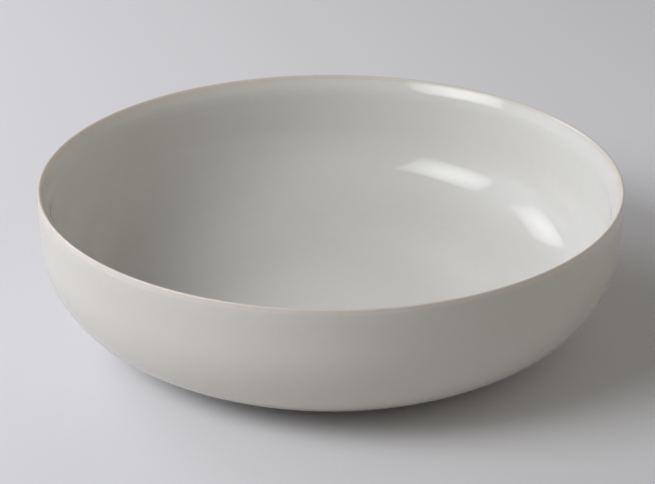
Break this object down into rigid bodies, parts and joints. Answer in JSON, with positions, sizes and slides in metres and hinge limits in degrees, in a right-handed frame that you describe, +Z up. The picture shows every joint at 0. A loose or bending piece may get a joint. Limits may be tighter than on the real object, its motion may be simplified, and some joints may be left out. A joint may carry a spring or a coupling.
{
  "type": "evaporating dish",
  "caption": "Shallow wide porcelain evaporating dish with steep sides, a curved corner, a flat floor and a bare lip, glazed inside and out.",
  "frame": {"origin": "centre of the plane the dish stands on", "axes": "+Z up, along the axis the dish is turned about; X and Y across the dish, which is the same in every direction"},
  "size_m": [0.1999, 0.2, 0.054],
  "materials": {
    "bare_porcelain": "smoothed bare lip, fired tan",
    "inside_glaze": "clear glossy glaze over greyish white porcelain",
    "outside_glaze": "clear glossy glaze over greyish white porcelain"
  },
  "bodies": {
    "root": {"porcelain_body": "bare_porcelain", "inside_glaze": "inside_glaze", "outside_glaze": "outside_glaze"}
  },
  "joints": []
}
